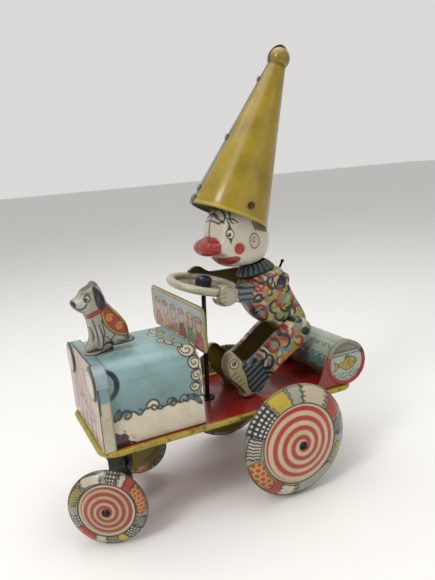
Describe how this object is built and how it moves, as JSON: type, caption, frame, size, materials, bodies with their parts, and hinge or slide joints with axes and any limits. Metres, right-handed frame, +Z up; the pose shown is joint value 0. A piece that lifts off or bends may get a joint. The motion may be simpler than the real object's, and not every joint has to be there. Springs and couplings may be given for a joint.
{
  "type": "clockwork tin car with clown driver and dog",
  "caption": "Clockwork tin toy car: open tray with bonnet and windscreen, swivelling drive carriage under the front, big back wheels, clown driver in a tall hat, dog on the bonnet.",
  "frame": {"origin": "on the ground under the middle of the chassis tray", "axes": "+Z up, -Y the way the car drives, +X the car's own left side, where the picture is taken from; it rests on its four wheels"},
  "size_m": [0.106, 0.183, 0.2491],
  "materials": {
    "deck_red": "gloss",
    "hood_blue": "gloss",
    "litho_cream": "gloss",
    "barrel_green": "gloss",
    "wheel_red": "gloss",
    "suit": "gloss",
    "face_white": "gloss",
    "hat_yellow": "gloss",
    "hat_blue": "gloss",
    "ruff_teal": "gloss",
    "dog_white": "gloss",
    "steel": "satin",
    "dark_steel": "satin",
    "brass": "satin",
    "spring_steel": "satin",
    "hub_navy": "gloss"
  },
  "bodies": {
    "chassis": {"chassis_tray": "deck_red", "axle_hanger_left": "steel", "axle_hanger_right": "steel", "hood_shell": "hood_blue", "radiator_plate": "litho_cream", "windscreen": "litho_cream", "barrel_skin": "barrel_green", "barrel_end_left": "barrel_green", "barrel_end_right": "barrel_green", "deck_bush": "brass", "hood_bush": "brass", "column_eyelet": "steel", "motor_plate_left": "steel", "motor_plate_right": "steel", "motor_pillars": "brass", "crown_bush": "brass", "mainspring": "spring_steel", "leg_left": "suit", "leg_right": "suit", "foot_rivets": "steel"},
    "rear_axle_set": {"rear_axle": "dark_steel", "rear_wheel_left": "wheel_red", "rear_wheel_right": "wheel_red"},
    "carriage": {"front_yoke": "steel", "carriage_tube": "steel", "tube_clip": "dark_steel"},
    "front_axle_set": {"front_axle": "dark_steel", "front_wheel_left": "wheel_red", "front_wheel_right": "wheel_red", "axle_crown": "steel"},
    "upright_shaft": {"drive_shaft": "steel", "upper_pinion": "brass", "lower_pinion": "dark_steel", "dog_stand": "litho_cream", "dog_left": "dog_white", "dog_right": "dog_white"},
    "great_wheel_set": {"great_wheel": "brass", "click": "spring_steel"},
    "crown_arbor_set": {"crown_arbor": "steel", "crown_wheel": "brass", "train_pinion": "brass"},
    "winder": {"winding_arbor": "steel", "ratchet_wheel": "steel", "winding_key": "steel"},
    "driver_body": {"torso_left": "suit", "torso_right": "suit", "ruff_collar": "ruff_teal", "joint_rivets": "dark_steel", "neck_post": "dark_steel", "neck_wire": "dark_steel"},
    "left_arm": {"arm_left": "suit"},
    "right_arm": {"arm_right": "suit"},
    "column": {"steering_column": "dark_steel", "steering_wheel": "litho_cream", "steering_hub": "hub_navy"},
    "driver_head": {"head_left": "face_white", "head_right": "face_white", "hat_tie": "steel", "hat_left": "hat_yellow", "hat_right": "hat_blue"}
  },
  "joints": [
    {"name": "rear_axle_spin", "type": "hinge", "parent": "chassis", "child": "rear_axle_set", "pos_m": [0, 0.0281, 0.033], "axis": [1, 0, 0], "continuous": true},
    {"name": "front_swivel", "type": "hinge", "parent": "chassis", "child": "carriage", "pos_m": [0, -0.0612, 0.045], "axis": [0, 0, 1], "continuous": true},
    {"name": "front_axle_spin", "type": "hinge", "parent": "carriage", "child": "front_axle_set", "pos_m": [0, -0.0612, 0.0209], "axis": [0.8788, -0.4772, 0], "continuous": true},
    {"name": "great_wheel_spin", "type": "hinge", "parent": "chassis", "child": "great_wheel_set", "pos_m": [0, -0.0408, 0.073], "axis": [1, 0, 0], "continuous": true, "deforming": ["click"]},
    {"name": "crown_arbor_spin", "type": "hinge", "parent": "chassis", "child": "crown_arbor_set", "pos_m": [0, -0.0612, 0.068], "axis": [1, 0, 0], "continuous": true},
    {"name": "drive_shaft_spin", "type": "hinge", "parent": "chassis", "child": "upright_shaft", "pos_m": [0, -0.0612, 0.068], "axis": [0, 0, 1], "continuous": true},
    {"name": "key_wind", "type": "hinge", "parent": "chassis", "child": "winder", "pos_m": [0, -0.0408, 0.073], "axis": [1, 0, 0], "continuous": true, "deforming": ["mainspring", "click"]},
    {"name": "driver_rock", "type": "hinge", "parent": "chassis", "child": "driver_body", "pos_m": [0, 0.0559, 0.085], "axis": [1, 0, 0], "range_deg": [-5, 5]},
    {"name": "left_arm_swing", "type": "hinge", "parent": "driver_body", "child": "left_arm", "pos_m": [0, 0.0406, 0.1186], "axis": [1, 0, 0], "range_deg": [-8, 8]},
    {"name": "right_arm_swing", "type": "hinge", "parent": "driver_body", "child": "right_arm", "pos_m": [0, 0.0406, 0.1186], "axis": [1, 0, 0], "range_deg": [-8, 8]},
    {"name": "column_tilt", "type": "hinge", "parent": "chassis", "child": "column", "pos_m": [0, -0.0045, 0.0515], "axis": [1, 0, 0], "range_deg": [-3, 3]},
    {"name": "head_nod", "type": "hinge", "parent": "driver_body", "child": "driver_head", "pos_m": [0, 0.033, 0.1316], "axis": [1, 0, 0], "range_deg": [-4, 4]}
  ],
  "couplings": [
    {"joint": "great_wheel_spin", "follows": "front_axle_spin", "ratio": -0.1875},
    {"joint": "crown_arbor_spin", "follows": "front_axle_spin", "ratio": 0.75},
    {"joint": "drive_shaft_spin", "follows": "front_axle_spin", "ratio": -1.5},
    {"joint": "left_arm_swing", "follows": "driver_rock", "ratio": -1.38},
    {"joint": "right_arm_swing", "follows": "driver_rock", "ratio": -1.38},
    {"joint": "column_tilt", "follows": "driver_rock", "ratio": 0.51}
  ]
}
